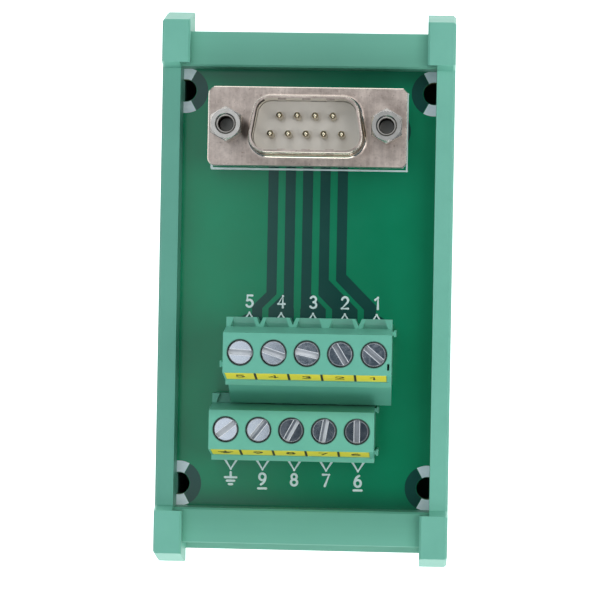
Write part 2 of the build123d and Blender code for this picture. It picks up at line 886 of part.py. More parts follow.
blocks = (
    ("high", high_tall, high_x, high_y, 1, slot_turns_high, [(1, lug_rear), (-1, lug_middle)]),
    ("low", low_tall, low_x, low_y, -1, slot_turns_low, [(1, lug_rear), (1, lug_front)]),
)
for name, tall, middle_x, row_y, entry, turns, lugs in blocks:
    seat = Pos(middle_x, row_y, board_top)
    write("terminal_housing_" + name, seat * make_housing(tall, entry, entry > 0, lugs))
    write("marker_strip_" + name, seat * make_marker_strip(tall))
    cage = make_clamp_cage(tall)
    contact = make_contact(tall, entry)
    contacts = []
    for number, x in enumerate(pole_x(0), start=1):
        place = seat * Pos(x, 0, 0)
        write(f"clamp_screw_{name}_{number}", place * make_clamp_screw(tall, turns[number - 1]))
        write(f"clamp_cage_{name}_{number}", place * cage)
        contacts.append(place * contact)
    write("contacts_" + name, group(contacts))
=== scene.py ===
import math
import bmesh
import bpy
from mathutils import Matrix, Vector


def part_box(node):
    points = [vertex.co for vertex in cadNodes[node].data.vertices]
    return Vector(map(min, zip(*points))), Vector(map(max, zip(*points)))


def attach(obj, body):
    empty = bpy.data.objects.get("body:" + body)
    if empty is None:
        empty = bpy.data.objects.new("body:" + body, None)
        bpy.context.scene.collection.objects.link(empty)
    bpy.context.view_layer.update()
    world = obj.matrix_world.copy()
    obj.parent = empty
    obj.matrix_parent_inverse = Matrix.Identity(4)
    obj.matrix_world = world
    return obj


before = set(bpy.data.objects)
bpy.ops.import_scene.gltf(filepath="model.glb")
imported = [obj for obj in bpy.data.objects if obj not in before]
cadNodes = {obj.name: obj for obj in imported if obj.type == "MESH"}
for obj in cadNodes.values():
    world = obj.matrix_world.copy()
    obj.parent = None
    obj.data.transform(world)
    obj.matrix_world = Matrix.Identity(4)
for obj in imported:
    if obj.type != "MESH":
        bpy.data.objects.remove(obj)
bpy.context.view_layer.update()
mm = 0.001
print("frame loaded,", len(cadNodes), "nodes")


# Places read from the model itself

def middleOf(node):
    low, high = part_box(node)
    return Vector([(a + b) / 2 for a, b in zip(low, high)])


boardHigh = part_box("circuit_board")[1]
boardTop = boardHigh[2]
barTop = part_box("carrier_profile")[1][2]
highPoles = [middleOf(f"clamp_cage_high_{i}") for i in range(1, 6)]
lowPoles = [middleOf(f"clamp_cage_low_{i}") for i in range(1, 6)]
blocks = {"high": highPoles, "low": lowPoles}
polePitch = highPoles[1].x - highPoles[0].x
jackPlaces = [middleOf("jackscrew_left"), middleOf("jackscrew_right")]
connectorY = jackPlaces[0].y


# Shader and geometry nodes, written as plain expressions

class Value:
    # one output socket, with arithmetic that adds Math nodes
    def __init__(self, sheet, socket):
        self.sheet = sheet
        self.socket = socket

    def math(self, operation, *numbers, clamp=False):
        settings = {"operation": operation, "use_clamp": clamp}
        return self.sheet.add("ShaderNodeMath", settings, dict(enumerate(numbers)))

    def __add__(self, other):
        return self.math("ADD", self, other)

    def __radd__(self, other):
        return self.math("ADD", other, self)

    def __sub__(self, other):
        return self.math("SUBTRACT", self, other)

    def __rsub__(self, other):
        return self.math("SUBTRACT", other, self)

    def __mul__(self, other):
        return self.math("MULTIPLY", self, other)

    def __rmul__(self, other):
        return self.math("MULTIPLY", other, self)

    def __truediv__(self, other):
        return self.math("DIVIDE", self, other)

    def __rtruediv__(self, other):
        return self.math("DIVIDE", other, self)

    def __lt__(self, other):
        return self.math("LESS_THAN", self, other)

    def __gt__(self, other):
        return self.math("GREATER_THAN", self, other)

    def __abs__(self):
        return self.math("ABSOLUTE", self)

    def clamped(self):
        return self.math("ADD", self, 0.0, clamp=True)

    def wrapped(self, pitch):
        # what is left past the nearest multiple of the pitch
        return self.math("WRAP", self, pitch / 2, -pitch / 2)

    def fraction(self):
        return self.math("FRACT", self)

    def sine(self):
        return self.math("SINE", self)

    def squareRoot(self):
        return self.math("SQRT", self)

    def ramp(self, start, end):
        # 0 before start and 1 past end
        values = {"Value": self, "From Min": start, "From Max": end}
        return self.sheet.add("ShaderNodeMapRange", {"interpolation_type": "SMOOTHSTEP"}, values)

    def rampAt(self, place, start, end):
        return self.ramp(place + start, place + end)


def distance(across, along):
    return (across * across + along * along).squareRoot()


def linear(code):
    # a screen colour such as 6cb09d as linear values
    parts = [int(code[i:i + 2], 16) / 255 for i in (0, 2, 4)]
    return tuple(p / 12.92 if p <= 0.04045 else ((p + 0.055) / 1.055) ** 2.4 for p in parts)


class Sheet:
    # a node tree and the one way that nodes are added to it
    def __init__(self, tree):
        self.tree = tree

    def add(self, kind, settings=None, values=None, output=0):
        node = self.tree.nodes.new(kind)
        for name, setting in (settings or {}).items():
            setattr(node, name, setting)
        for name, value in (values or {}).items():
            self.feed(node.inputs[name], value)
        return Value(self, node.outputs[output])

    def feed(self, socket, value):
        # a link, a colour as a code or three linear numbers, or any other value
        if isinstance(value, Value):
            self.tree.links.new(value.socket, socket)
        elif socket.type == "RGBA":
            colour = linear(value) if isinstance(value, str) else value
            socket.default_value = (*colour, 1.0)
        else:
            socket.default_value = value


class Finish(Sheet):
    # one material: a Principled shader with what drives it
    def __init__(self, name, **values):
        self.material = bpy.data.materials.new(name)
        self.material.use_nodes = True
        super().__init__(self.material.node_tree)
        self.tree.nodes.clear()
        self.shader = self.tree.nodes.new("ShaderNodeBsdfPrincipled")
        end = self.tree.nodes.new("ShaderNodeOutputMaterial")
        self.tree.links.new(self.shader.outputs[0], end.inputs["Surface"])
        self.place = self.add("ShaderNodeTexCoord", output="Object")
        for socket, value in values.items():
            self.set(socket, value)

    def set(self, socket, value):
        self.feed(self.shader.inputs[socket], value)

    def split(self, vector):
        node = self.add("ShaderNodeSeparateXYZ", values={0: vector}).socket.node
        return [Value(self, socket) for socket in node.outputs]

    def axes(self):
        return self.split(self.place)

    def facing(self):
        return self.split(self.add("ShaderNodeNewGeometry", output="Normal"))

    def level(self, start=0.4, end=0.7):
        # 1 on faces that lie flat and 0 on walls
        return abs(self.facing()[2]).ramp(start, end)

    def stretched(self, x, y, z):
        return self.add("ShaderNodeMapping", values={"Vector": self.place, "Scale": (x, y, z)})

    def noise(self, size, detail=2.0, roughness=0.5, where=None):
        # size is that of one blotch, in millimetres
        values = {"Scale": 1 / (size * mm), "Detail": detail, "Roughness": roughness}
        values["Vector"] = where or self.place
        return self.add("ShaderNodeTexNoise", values=values)

    def mix(self, factor, first, second):
        # inputs 6 and 7 and output 2 are the Mix node's colours
        values = {0: factor, 6: first, 7: second}
        return self.add("ShaderNodeMix", {"data_type": "RGBA"}, values, output=2)

    def bump(self, height, depth):
        # depth is the height of the relief, in millimetres
        return self.add("ShaderNodeBump", values={"Height": height, "Distance": depth * mm})


def paint(finish, *names):
    for name in names:
        for slot in cadNodes[name].material_slots:
            slot.material = finish.material


# Plastics: base colours carry the soft shade that gathers in narrow gaps.
# Here and below, blotch sizes and reliefs are in millimetres

carrier = {
    "colour": "72bea5",
    "shade": "5ca38b",
    "edge": "b4e6d6",
    "cloud": 9.0,
    "streak": 1.4,
    "grain": 0.22,
    "relief": 0.006,
    "roughness": 0.36,
    "barInner": 34.9 * mm,
    "barOuter": 40.4 * mm,
    "outerBand": (-0.16 * mm, -0.06 * mm),
    "topBand": (-0.32 * mm, -0.28 * mm),
}


def makeExtrudedPlastic():
    # painted shade, darker towards the bars' inner edges, with a painted highlight line where their outer
    # edges catch the light
    finish = Finish("extrudedCarrier", IOR=1.5)
    x, y, z = finish.axes()
    cloud = finish.noise(carrier["cloud"], 3.0)
    streaks = finish.noise(carrier["streak"], 4.0, 0.6, finish.stretched(0.03, 1, 1))
    grain = finish.noise(carrier["grain"])
    across = abs(y).ramp(carrier["barInner"], carrier["barOuter"])
    tone = (cloud * 0.35 + streaks * 0.3 + across * 0.55 - 0.15).clamped()
    outer = abs(y).rampAt(carrier["barOuter"], *carrier["outerBand"])
    onBar = z.rampAt(barTop, *carrier["topBand"])
    body = finish.mix(tone, carrier["shade"], carrier["colour"])
    finish.set("Base Color", finish.mix(outer * onBar * 0.5, body, carrier["edge"]))
    finish.set("Roughness", carrier["roughness"] + streaks * 0.16)
    finish.set("Normal", finish.bump(streaks * 1.4 + grain * 0.5, carrier["relief"]))
    return finish


mould = {
    "cloud": 6.0,
    "flow": 2.2,
    "holeFade": 0.2 * mm,
    "holeDark": 0.93,
    "rimFade": 0.5 * mm,
    "rimShade": 0.55,
    "gapDark": 0.42,
}
endPlate = {
    "colour": "7cc8b1",
    "shade": "6ebaa3",
    "grain": 0.16,
    "relief": 0.007,
    "roughness": 0.39,
    # the rim's darker colour is painted shade
    "rim": "4c9580",
    "rimEnd": 34.5 * mm,
}
latch = {"colour": "6fb8a2", "shade": "5fa690", "grain": 0.14, "relief": 0.006, "roughness": 0.33}
insulator = {"colour": "f2ede6", "shade": "e4ded5", "grain": 0.14, "relief": 0.008, "roughness": 0.45}
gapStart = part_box("terminal_housing_high")[0][1]
housing = {
    "colour": "74c8ae",
    "shade": "64b89e",
    "grain": 0.12,
    "relief": 0.005,
    "roughness": 0.35,
    "holeShade": "0a1a16",
    "holeRadius": 1.96 * mm,
    "gap": "2f6f5e",
    "gapRise": (gapStart - 2.4 * mm, gapStart - 0.3 * mm),
    "gapFall": (gapStart + 1.8 * mm, gapStart + 3.9 * mm),
}


def makeMouldedPlastic(name, values, poles=None):
    # poles are the axes of a row of deep screw holes, darkened inside with painted shade
    finish = Finish(name, IOR=1.5)
    x, y = finish.axes()[:2]
    cloud = finish.noise(mould["cloud"], 4.0, 0.55)
    flow = finish.noise(mould["flow"], 3.0, 0.6, finish.stretched(1, 1, 0.35))
    grain = finish.noise(values["grain"], 3.0, 0.6)
    tone = (cloud * 0.9 + flow * 0.4 - 0.15).clamped()
    body = finish.mix(tone, values["shade"], values["colour"])
    if poles:
        reach = distance((x - poles[0].x).wrapped(polePitch), y - poles[0].y)
        inHole = 1 - reach.rampAt(values["holeRadius"], 0, mould["holeFade"])
        body = finish.mix(inHole * mould["holeDark"], body, values["holeShade"])
    if "rim" in values:
        # painted shade: the left plate's rim, between the corner caps, is darker
        between = 1 - abs(y).rampAt(values["rimEnd"], 0, mould["rimFade"])
        body = finish.mix(between * (x < 0.0) * mould["rimShade"], body, values["rim"])
    if "gap" in values:
        # painted shade in the gap between the high and the low block
        inGap = y.ramp(*values["gapRise"]) * (1 - y.ramp(*values["gapFall"]))
        body = finish.mix(inGap * mould["gapDark"], body, values["gap"])
    finish.set("Base Color", body)
    finish.set("Roughness", values["roughness"] + grain * 0.12)
    finish.set("Normal", finish.bump(grain + flow * 1.5, values["relief"]))
    return finish


paint(makeExtrudedPlastic(), "carrier_profile")
paint(makeMouldedPlastic("mouldedEndPlate", endPlate), "end_plate_left", "end_plate_right")
paint(makeMouldedPlastic("slidingLatch", latch), "rail_latch_left", "rail_latch_right")
for block, poles in blocks.items():
    plastic = makeMouldedPlastic("terminalHousing" + block.title(), housing, poles)
    paint(plastic, "terminal_housing_" + block)
paint(makeMouldedPlastic("connectorInsulator", insulator), "dsub_insulator")
print("plastics done")


# Circuit board: green mask on both faces, bare laminate at the edges and in the holes

mask = {
    "colour": "078b62",
    "shade": "067f57",
    "copperColour": "124f46",
    "copperShade": "0d443d",
    "paintedShade": "0c3f33",
    "shadowBand": (30.5 * mm, 34.6 * mm),
    "laminate": "6f6a45",
    "layer": "57542f",
    "layerTall": 0.2 * mm,
    "weave": 0.55 * mm,
    "cloud": 7.0,
    "ripple": 0.5,
    "relief": 0.004,
    "roughness": 0.11,
}


def makeBoardFinish(name, colour, shade):
    finish = Finish(name, IOR=1.5)
    x, y, z = finish.axes()
    flat = finish.level()
    cloud = finish.noise(mask["cloud"], 3.0)
    ripple = finish.noise(mask["ripple"])
    green = finish.mix(cloud, shade, colour)
    # painted shadow of the bars on the mask beside them
    green = finish.mix(abs(y).ramp(*mask["shadowBand"]) * 0.5, green, mask["paintedShade"])
    layers = (z / mask["layerTall"]).fraction().ramp(0.35, 0.6)
    edge = finish.mix(layers * 0.5, mask["laminate"], mask["layer"])
    turn = 2 * math.pi / mask["weave"]
    weave = (x * turn).sine() * (y * turn).sine()
    finish.set("Base Color", finish.mix(flat, edge, green))
    finish.set("Roughness", mask["roughness"] + cloud * 0.06 + (1 - flat) * 0.4)
    finish.set("Normal", finish.bump(weave * 0.12 + ripple * 0.6, mask["relief"]))
    return finish


paint(makeBoardFinish("solderMask", mask["colour"], mask["shade"]), "circuit_board")
coveredCopper = makeBoardFinish("maskOverCopper", mask["copperColour"], mask["copperShade"])
print("board done")


# Metals

shell = {
    "colour": "e4d4c9",
    "shade": "928178",
    "stain": "7a675e",
    "patch": 3.4,
    "blotch": 1.1,
    "rolling": 0.6,
    "speck": 0.3,
    "relief": 0.004,
    "roughness": 0.15,
    "edge": "fbf8f4",
    "halfX": 15.65 * mm,
    "halfY": 6.25 * mm,
    "edgeBand": (-0.14 * mm, -0.09 * mm),
    "drawn": "eee6d8",
    "dimple": "6f6b60",
    "dimplePitch": 3.75 * mm,
    "dimpleHalf": 0.62 * mm,
    "dimpleFade": 0.1 * mm,
    "dimpleHead": 0.5 * mm,
    "dimpleFoot": 3.2 * mm,
    "shadow": "2e2520",
    "shadowX": -9.65 * mm,
    "shadowY": -0.75 * mm,
    "shadowWide": 1.1 * mm,
    "shadowTall": 2.1 * mm,
    "leftWall": -6.5 * mm,
    "leftFoot": 2.6 * mm,
}


def makeFlangeFinish():
    # tin plate with rolling lines and mottled, rougher patches, a painted highlight on its sheared edges
    # and paler drawn walls as a painted reflection
    finish = Finish("tinPlate", Metallic=1.0)
    x, y, z = finish.axes()
    flat = finish.level(0.85, 0.97)
    patches = finish.noise(shell["patch"], 5.0, 0.7)
    blotches = finish.noise(shell["blotch"], 4.0, 0.65)
    rolling = finish.noise(shell["rolling"], 4.0, 0.65, finish.stretched(1, 0.08, 1))
    specks = finish.noise(shell["speck"]).ramp(0.6, 0.75)
    tone = (patches * 1.5 + rolling * 0.6 + blotches * 0.5 - 0.75).clamped()
    plate = finish.mix(tone, shell["shade"], shell["colour"])
    plate = finish.mix(specks * 0.45, plate, shell["stain"])
    # painted highlight along the plate's sheared edges
    sides = abs(x).rampAt(shell["halfX"], *shell["edgeBand"])
    ends = abs(y - connectorY).rampAt(shell["halfY"], *shell["edgeBand"])
    edge = (sides + ends).clamped()
    plate = finish.mix(edge * 0.8, plate, shell["edge"])
    # painted reflection: a dark patch on the plate between the shroud and the left jackscrew
    aside = (x - shell["shadowX"]) / shell["shadowWide"]
    below = (y - connectorY - shell["shadowY"]) / shell["shadowTall"]
    shadow = 1 - distance(aside, below).ramp(0.35, 1.0)
    plate = finish.mix(shadow * 0.85, plate, shell["shadow"])
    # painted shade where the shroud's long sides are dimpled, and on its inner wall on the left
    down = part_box("dsub_front_shell")[1][2] - z
    pitch = shell["dimplePitch"]
    inReach = (abs(x) < pitch * 1.3) * (down > shell["dimpleHead"]) * (down < shell["dimpleFoot"])
    dimple = 1 - abs(x.wrapped(pitch)).rampAt(shell["dimpleHalf"], -shell["dimpleFade"], 0)
    drawn = finish.mix(dimple * inReach * 0.55, shell["drawn"], shell["dimple"])
    leftInside = (x < shell["leftWall"]) * (finish.facing()[0] > 0.4) * (down < shell["leftFoot"])
    drawn = finish.mix(leftInside * 0.9, drawn, shell["shadow"])
    worn = flat * (0.1 + patches * 0.2 + specks * 0.1 + edge * 0.3)
    # the drawn walls' paler colour is a painted reflection
    finish.set("Base Color", finish.mix(flat, drawn, plate))
    finish.set("Roughness", shell["roughness"] + worn + leftInside * 0.75)
    finish.set("Normal", finish.bump(rolling + patches * 0.6, shell["relief"]))
    return finish


nickel = {
    "colour": "e4e0da",
    "shade": "b5aea6",
    "grooveShade": "6c6964",
    "inside": "98958f",
    "grime": 0.8,
    "scuff": 0.25,
    "cutPitch": 0.11 * mm,
    "relief": 0.001,
    "roughness": 0.17,
    "bore": 1.25 * mm,
    "boreBand": (-0.05 * mm, 0.02 * mm),
    "lipBand": (0.13 * mm, 0.19 * mm),
    "grooveBand": (0.29 * mm, 0.33 * mm),
}


def makeTurnedMetal(place):
    # rings of a cutting tool round an axis and its mirror image at the other side, a painted highlight on
    # the lip, and painted shade in a groove round the bore and in the bore
    finish = Finish("nickelPlate", Metallic=1.0)
    x, y = finish.axes()[:2]
    reach = distance(abs(x) - abs(place.x), y - place.y)
    rings = (reach * (2 * math.pi / nickel["cutPitch"])).sine()
    grime = finish.noise(nickel["grime"], 4.0, 0.6)
    scuffs = finish.noise(nickel["scuff"], 3.0, 0.7, finish.stretched(1, 0.25, 1))
    tone = (grime * 0.8 + scuffs * 0.5 - 0.15).clamped()
    inBore = 1 - reach.rampAt(nickel["bore"], *nickel["boreBand"])
    pastLip = reach.rampAt(nickel["bore"], *nickel["lipBand"])
    lip = (1 - inBore) * (1 - pastLip)
    groove = pastLip * (1 - reach.rampAt(nickel["bore"], *nickel["grooveBand"]))
    body = finish.mix(tone, nickel["shade"], nickel["colour"])
    body = finish.mix(groove * 0.6, body, nickel["grooveShade"])
    finish.set("Base Color", finish.mix(inBore * 0.8, body, nickel["inside"]))
    finish.set("Metallic", 1 - (lip * 0.8 + finish.level(0.9, 0.98) * 0.4).clamped())
    finish.set("Roughness", nickel["roughness"] + grime * 0.12 + inBore * 0.2)
    finish.set("Normal", finish.bump(rings * 0.2 + scuffs * 0.4, nickel["relief"]))
    return finish


# For each screw of a block: how far its slot is turned, in degrees, how brightly painted highlight
# makes the slot's two sides shine, and how much painted shade darkens its head
screwHead = {
    "colour": "e6eaf0",
    "shade": "b4bac4",
    "worn": "f2f4f6",
    "slot": "6f7680",
    "shadeTone": "30363f",
    "grime": 0.7,
    "grain": 0.16,
    "relief": 0.0009,
    "roughness": 0.07,
    "rimFull": 1.71 * mm,
    "rimFade": 0.075 * mm,
    "slotHalf": 0.375 * mm,
    "slotBand": (-0.05 * mm, 0.02 * mm),
    "sideBand": (-0.06 * mm, 0.1 * mm),
    "lipPlace": 0.06 * mm,
    "lipBand": (0.02 * mm, 0.08 * mm),
    "turns": {"high": [-3, -18, -12, -58, -40], "low": [38, 52, 62, 80, 90]},
    "shine": {
        "high": [(0.85, 0.7), (0.8, 0.5), (1.0, 0.8), (0.3, 0.15), (0.2, 0.5)],
        "low": [(0.75, 0.7), (0.15, 0.6), (1.0, 0.1), (1.0, 0.15), (0.3, 0.25)],
    },
    "paintedShade": {"high": [0.0, 0.0, 0.0, 0.05, 0.0], "low": [0.0, 0.0, 0.6, 0.3, 0.45]},
}


def makeScrewFinish(name, place, turn, shine, paintedShade):
    # a slot with painted highlight and shade on its two sides and painted highlight lines on its lips,
    # a worn rim and fine plating between them
    finish = Finish(name, Metallic=1.0)
    x, y = finish.axes()[:2]
    across, along = x - place.x, y - place.y
    angle = math.radians(turn)
    past = along * math.cos(angle) - across * math.sin(angle)
    offEdge = abs(past) - screwHead["slotHalf"]
    inSlot = 1 - offEdge.ramp(*screwHead["slotBand"])
    lip = 1 - abs(offEdge - screwHead["lipPlace"]).ramp(*screwHead["lipBand"])
    rim = distance(across, along).rampAt(screwHead["rimFull"], -screwHead["rimFade"], 0)
    grime = finish.noise(screwHead["grime"], 4.0, 0.6)
    grain = finish.noise(screwHead["grain"], 3.0, 0.7)
    tone = (grime * 0.9 + grain * 0.3 - 0.1).clamped()
    # the lips' pale lines are painted highlight, the rim's are wear
    worn = ((lip * 1.25 + rim * 0.8) * (0.3 + grain * 0.9)).clamped()
    mottle = grime.ramp(0.4, 0.7) * (0.15 * (1 - paintedShade))
    near, far = shine
    # painted highlight and shade on the slot's two sides
    bright = (past.ramp(*screwHead["sideBand"]) * (far - near) + near + grime * 0.3 - 0.15).clamped()
    body = finish.mix(tone, screwHead["shade"], screwHead["colour"])
    # painted shade darkens some heads
    body = finish.mix(paintedShade, body, screwHead["shadeTone"])
    body = finish.mix(inSlot, body, finish.mix(bright, screwHead["slot"], screwHead["worn"]))
    finish.set("Base Color", finish.mix(worn, body, screwHead["worn"]))
    finish.set("Metallic", 1 - (inSlot * bright * 0.65 + worn * 0.45 + mottle).clamped())
    finish.set("Roughness", screwHead["roughness"] + grime * 0.06 + inSlot * 0.35 + worn * 0.4)
    finish.set("Normal", finish.bump(grain * 0.5 + grime * 0.8, screwHead["relief"]))
    return finish


def makePlainMetal(name, colour, shade, roughness, size=1.2, relief=0.003, metallic=1.0):
    finish = Finish(name, Metallic=metallic)
    cloud = finish.noise(size, 4.0, 0.6)
    fine = finish.noise(size / 6)
    finish.set("Base Color", finish.mix(cloud, shade, colour))
    finish.set("Roughness", roughness + cloud * 0.14)
    finish.set("Normal", finish.bump(fine + cloud, relief))
    return finish


paint(makeFlangeFinish(), "dsub_front_shell", "dsub_rear_shell")
nickelPlate = makeTurnedMetal(jackPlaces[1])
paint(nickelPlate, "jackscrew_left", "jackscrew_right", "board_lock_left", "board_lock_right")
cageZinc = makePlainMetal("cageZinc", "c4c6c8", "97999c", 0.28)
for block, poles in blocks.items():
    for i, place in enumerate(poles):
        look = [screwHead[key][block][i] for key in ("turns", "shine", "paintedShade")]
        finish = makeScrewFinish(f"zincScrew{block.title()}{i + 1}", place, *look)
        paint(finish, f"clamp_screw_{block}_{i + 1}")
        paint(cageZinc, f"clamp_cage_{block}_{i + 1}")
paint(makePlainMetal("flashGold", "e2d6ba", "bcb096", 0.14, 0.9), "dsub_pins")
paint(makePlainMetal("tinnedCopper", "c9c9c6", "a8a7a2", 0.24), "contacts_high", "contacts_low")
paint(makePlainMetal("springStrip", "b9bbbe", "8e9194", 0.22), "latch_spring_left", "latch_spring_right")
tinnedPad = makePlainMetal("tinnedPad", "eef6fa", "d2e0ea", 0.36, 0.6, 0.01, 0.1)
# the thread's metal is darker as painted shade deep in the bores
threadMetal = makePlainMetal("boreThreadMetal", "6d6963", "45423e", 0.34, 0.5)
print("metals done")


# Marker strips and inks

strip = {
    "colour": "fbf03e",
    "shade": "f2e22c",
    "fleck": "fff56a",
    "cloud": 2.5,
    "fibre": 0.18,
    "relief": 0.003,
    "roughness": 0.38,
}


def makeMarkerFinish():
    finish = Finish("printedYellow", IOR=1.5)
    fibre = finish.noise(strip["fibre"])
    colour = finish.mix(finish.noise(strip["cloud"], 3.0), strip["shade"], strip["colour"])
    finish.set("Base Color", finish.mix(fibre.ramp(0.6, 0.8) * 0.25, colour, strip["fleck"]))
    finish.set("Roughness", strip["roughness"] + fibre * 0.1)
    finish.set("Normal", finish.bump(fibre, strip["relief"]))
    return finish


def makeInk(name, colour, shade, roughness, size=0.5, relief=0.004):
    finish = Finish(name, IOR=1.5)
    cloud = finish.noise(size, 3.0)
    finish.set("Base Color", finish.mix(cloud, shade, colour))
    finish.set("Roughness", roughness + cloud * 0.1)
    finish.set("Normal", finish.bump(cloud, relief))
    return finish


paint(makeMarkerFinish(), "marker_strip_high", "marker_strip_low")
whiteInk = makeInk("whiteLegendInk", "f2fdfb", "def5f2", 0.5)
blackInk = makeInk("blackMarkerInk", "14120a", "221e0c", 0.45)


# Meshes

def meshObject(name, points, faces, finish):
    mesh = bpy.data.meshes.new(name)
    mesh.from_pydata(points, [], faces)
    mesh.materials.append(finish.material)
    piece = bpy.data.objects.new(name, mesh)
    bpy.context.collection.objects.link(piece)
    return piece


def prism(outline, low, high):
    # an outline in X and Y, listed anticlockwise, as a closed body between two heights
    count = len(outline)
    points = [(x, y, low) for x, y in outline] + [(x, y, high) for x, y in outline]
    faces = [list(range(count - 1, -1, -1)), list(range(count, 2 * count))]
    faces += [[i, (i + 1) % count, (i + 1) % count + count, i + count] for i in range(count)]
    return points, faces


def joined(parts):
    points, faces = [], []
    for somePoints, someFaces in parts:
        start = len(points)
        points += somePoints
        faces += [[start + i for i in face] for face in someFaces]
    return points, faces


def arc(centreX, centreY, radiusX, radiusY, start, end, steps):
    turns = [math.radians(start + (end - start) * i / steps) for i in range(steps + 1)]
    return [(centreX + radiusX * math.cos(t), centreY + radiusY * math.sin(t)) for t in turns]


# Copper under the mask: five tracks that run from the connector to the high block, and round lands

copper = {
    "thick": 0.018 * mm,
    "trackWidth": 1.62 * mm,
    "pinPitch": 2.77 * mm,
    "gap": 1.0 * mm,
    "startDown": 2.4 * mm,
    "jogEnd": -3.2 * mm,
    "leftEdge": (0.41 * mm, -2.9 * mm),
    "rightEdge": (-0.11 * mm, -2.5 * mm),
    "rearEdge": -5.9 * mm,
    "landRadius": 1.8 * mm,
    "landThick": 0.0162 * mm,
    "lockLand": 3.75 * mm,
    "cornerLand": 3.6 * mm,
    "cornerInner": 1.81 * mm,
    "insetX": 2.15 * mm,
    "insetY": 4.6 * mm,
    "barEdge": 34.87 * mm,
    "plateGap": 0.02 * mm,
    "darkRing": [(-60, 60), (120, 240)],
    "brightRing": [(62, 118), (242, 298)],
    "tinThick": 0.04 * mm,
}


def trackEdge(top, bottom, jogEnd):
    # straight down from the connector, then a 45 degree jog to its place at the block
    bend = jogEnd + abs(bottom - top)
    startY = connectorY - copper["startDown"]
    return [(top, startY), (top, bend), (bottom, jogEnd), (bottom, copper["rearEdge"])]


def makeTracks():
    parts = []
    half = copper["trackWidth"] / 2
    reach = (polePitch - copper["gap"]) / 2
    last = len(highPoles) - 1
    for i, pole in enumerate(highPoles):
        centre = (i - last / 2) * copper["pinPitch"]
        leftPlace, leftEnd = copper["leftEdge"] if i == 0 else (-reach, copper["jogEnd"])
        rightPlace, rightEnd = copper["rightEdge"] if i == last else (reach, copper["jogEnd"])
        left = trackEdge(centre - half, pole.x + leftPlace, leftEnd)
        right = trackEdge(centre + half, pole.x + rightPlace, rightEnd)
        parts.append(prism(left + right[::-1], boardTop, boardTop + copper["thick"]))
        land = arc(pole.x, copper["rearEdge"], copper["landRadius"], copper["landRadius"], 0, 337.5, 15)
        parts.append(prism(land, boardTop, boardTop + copper["landThick"]))
    for jack in jackPlaces:
        land = arc(jack.x, jack.y, copper["lockLand"], copper["lockLand"], 0, 350, 35)
        parts.append(prism(land, boardTop, boardTop + copper["thick"]))
    return meshObject("copper_tracks", *joined(parts), coveredCopper)


def ringSector(centreX, centreY, start, end, thick):
    inner, outer = copper["cornerInner"], copper["cornerLand"]
    steps = max(4, int(abs(end - start) / 6))
    outline = arc(centreX, centreY, outer, outer, start, end, steps)
    outline += arc(centreX, centreY, inner, inner, end, start, steps)
    return prism(outline, boardTop, boardTop + thick)


def cutFlat(piece, place, direction):
    # takes away what lies past a plane and closes the cut
    mesh = bmesh.new()
    mesh.from_mesh(piece.data)
    where = mesh.verts[:] + mesh.edges[:] + mesh.faces[:]
    cut = bmesh.ops.bisect_plane(mesh, geom=where, plane_co=place, plane_no=direction, clear_outer=True)
    edges = [item for item in cut["geom_cut"] if isinstance(item, bmesh.types.BMEdge)]
    bmesh.ops.holes_fill(mesh, edges=edges)
    bmesh.ops.recalc_face_normals(mesh, faces=mesh.faces)
    mesh.to_mesh(piece.data)
    mesh.free()


def makeCornerLands(name, sectors, thick, finish):
    # rings round the corner holes, as far as the end plates and the bars leave them bare
    parts = []
    for centreX in (copper["insetX"] - boardHigh[0], boardHigh[0] - copper["insetX"]):
        for centreY in (copper["insetY"] - boardHigh[1], boardHigh[1] - copper["insetY"]):
            for start, end in sectors:
                parts.append(ringSector(centreX, centreY, start, end, thick))
    piece = meshObject(name, *joined(parts), finish)
    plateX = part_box("carrier_profile")[1][0] - copper["plateGap"]
    for side in (1, -1):
        cutFlat(piece, (side * plateX, 0, 0), (side, 0, 0))
    for side in (1, -1):
        cutFlat(piece, (0, side * copper["barEdge"], 0), (0, side, 0))
    return piece


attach(makeTracks(), "carrier")
darkRing, brightRing = copper["darkRing"], copper["brightRing"]
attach(makeCornerLands("corner_land_copper", darkRing, copper["thick"], coveredCopper), "carrier")
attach(makeCornerLands("corner_land_tin", brightRing, copper["tinThick"], tinnedPad), "carrier")
print("copper done")


# Geometry Nodes trees with named inputs, and their results as plain meshes

def startTree(name, kinds):
    tree = bpy.data.node_groups.new(name, "GeometryNodeTree")
    tree.interface.new_socket("Geometry", in_out="INPUT", socket_type="NodeSocketGeometry")
    keys = {}
    for label, kind in kinds.items():
        socket = tree.interface.new_socket(label, in_out="INPUT", socket_type="NodeSocket" + kind)
        keys[label] = socket.identifier
    tree.interface.new_socket("Geometry", in_out="OUTPUT", socket_type="NodeSocketGeometry")
    sheet = Sheet(tree)
    given = sheet.add("NodeGroupInput").socket.node
    return sheet, {socket.name: Value(sheet, socket) for socket in given.outputs}, keys


def endTree(sheet, shape, material):
    real = sheet.add("GeometryNodeRealizeInstances", values={"Geometry": shape})
    dressed = sheet.add("GeometryNodeSetMaterial", values={"Geometry": real, "Material": material})
    end = sheet.tree.nodes.new("NodeGroupOutput")
    sheet.tree.links.new(dressed.socket, end.inputs[0])


def formed(name, mesh, sheet, keys, values):
    piece = bpy.data.objects.new(name, mesh)
    bpy.context.collection.objects.link(piece)
    modifier = piece.modifiers.new("shape", "NODES")
    modifier.node_group = sheet.tree
    for label, value in values.items():
        modifier[keys[label]] = value
    shape = piece.evaluated_get(bpy.context.evaluated_depsgraph_get())
    result = bpy.data.meshes.new_from_object(shape)
    piece.modifiers.clear()
    piece.data = result
    return piece


# Printed strokes: edges become flat lines with round ends and corners

